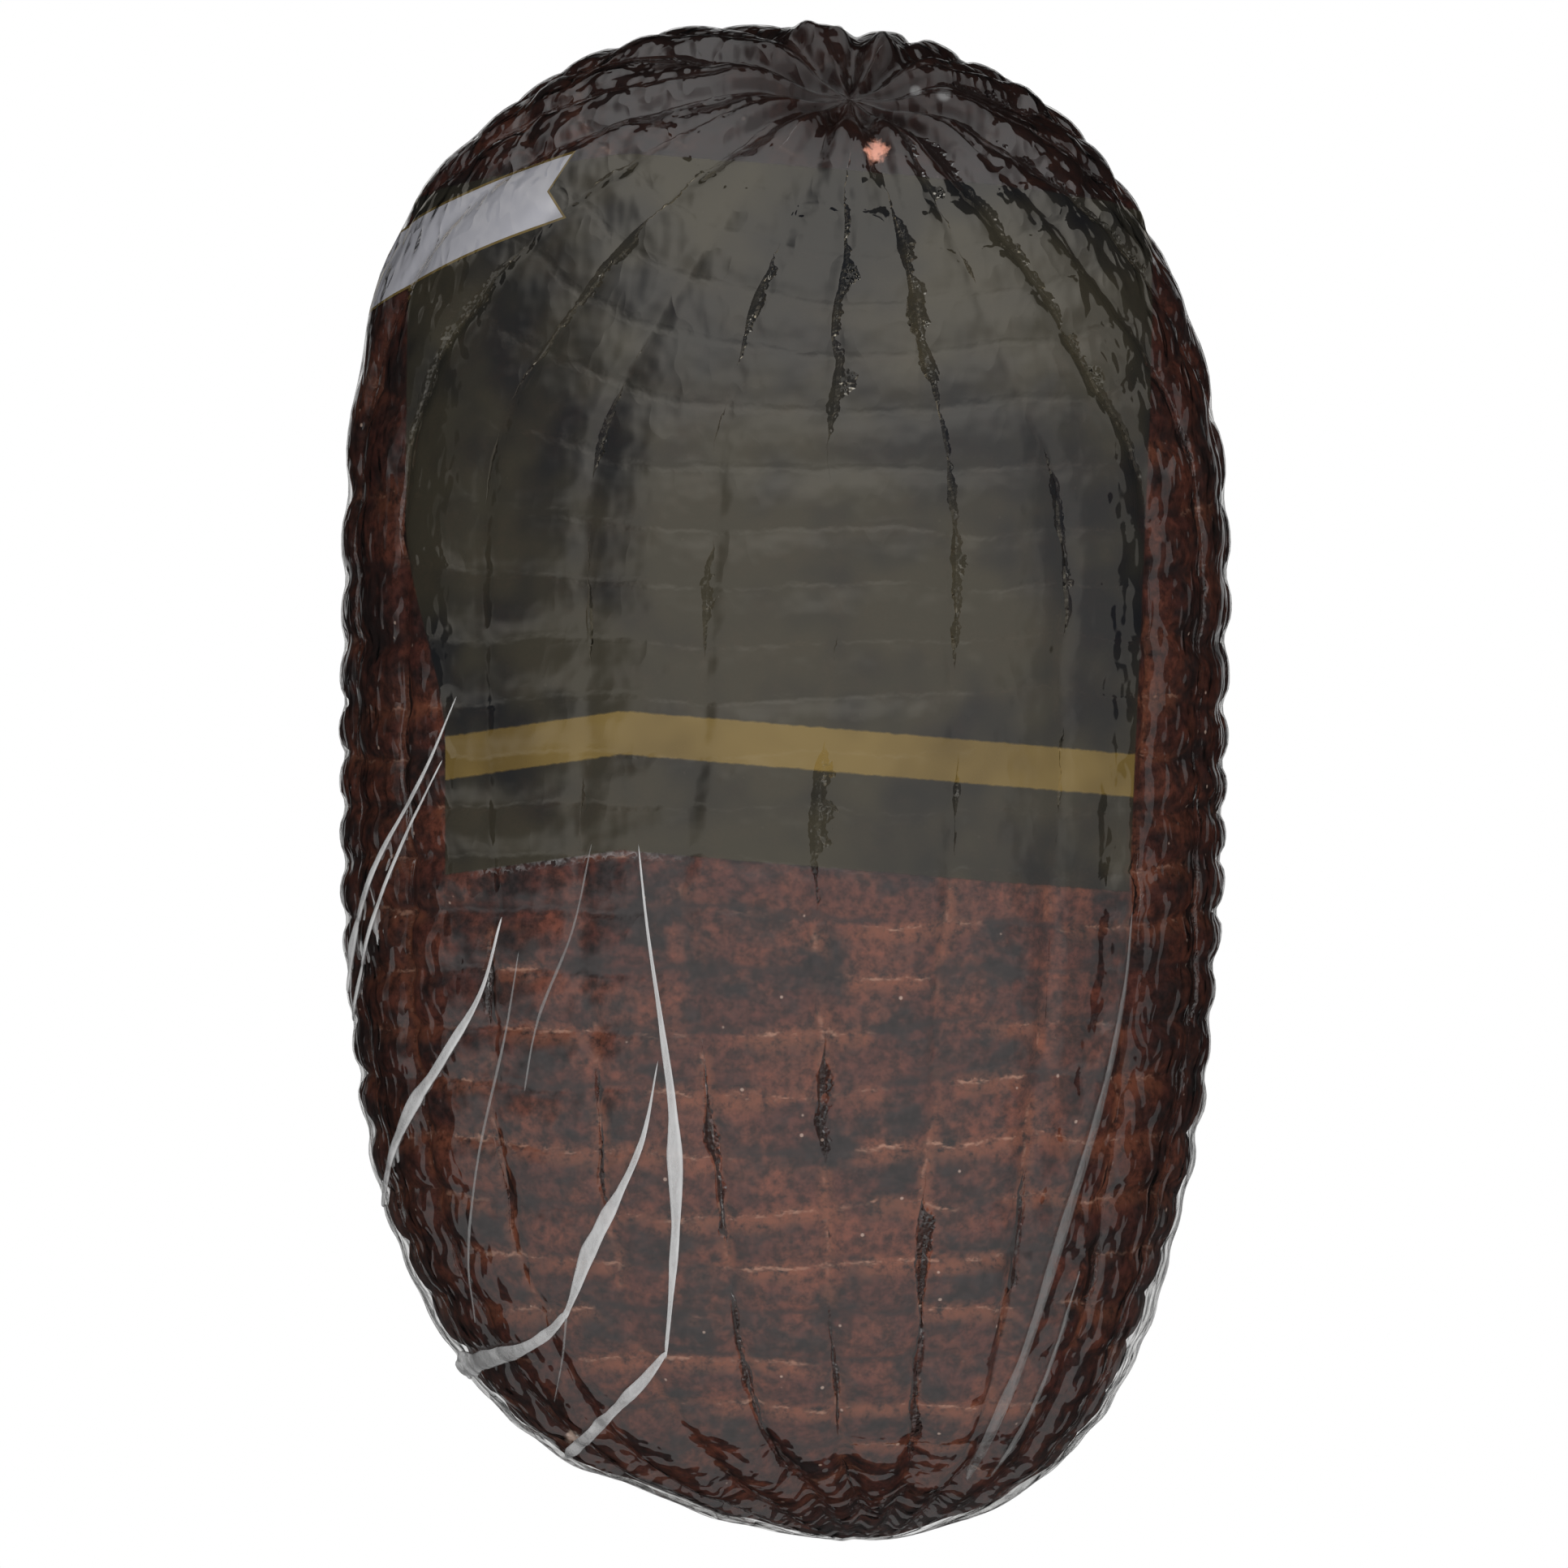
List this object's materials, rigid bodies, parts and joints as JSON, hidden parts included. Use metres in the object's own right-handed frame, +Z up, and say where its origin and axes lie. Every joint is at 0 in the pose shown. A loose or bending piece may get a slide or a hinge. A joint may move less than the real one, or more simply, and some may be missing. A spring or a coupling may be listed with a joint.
{
  "type": "smoked ham",
  "caption": "Boneless smoked ham with a net pattern pressed into its dark skin, lying on its back in a tight clear shrink bag with a bare printed panel.",
  "frame": {"origin": "on the surface it rests on, under the middle of its length and width", "axes": "+Z up, +Y along the ham towards the gathered end, +X to the right as seen from above with the gathered end away from the viewer"},
  "size_m": [0.1874, 0.3198, 0.1399],
  "materials": {
    "ham_skin": "moist smoked and caramel-coated skin, dark in the pillows and redder along the net lines",
    "clear_film": "glossy clear shrink film with a dark translucent printed panel and a gold band, bare of lettering"
  },
  "bodies": {
    "root": {"ham": "ham_skin", "shrink_bag": "clear_film"}
  },
  "joints": []
}
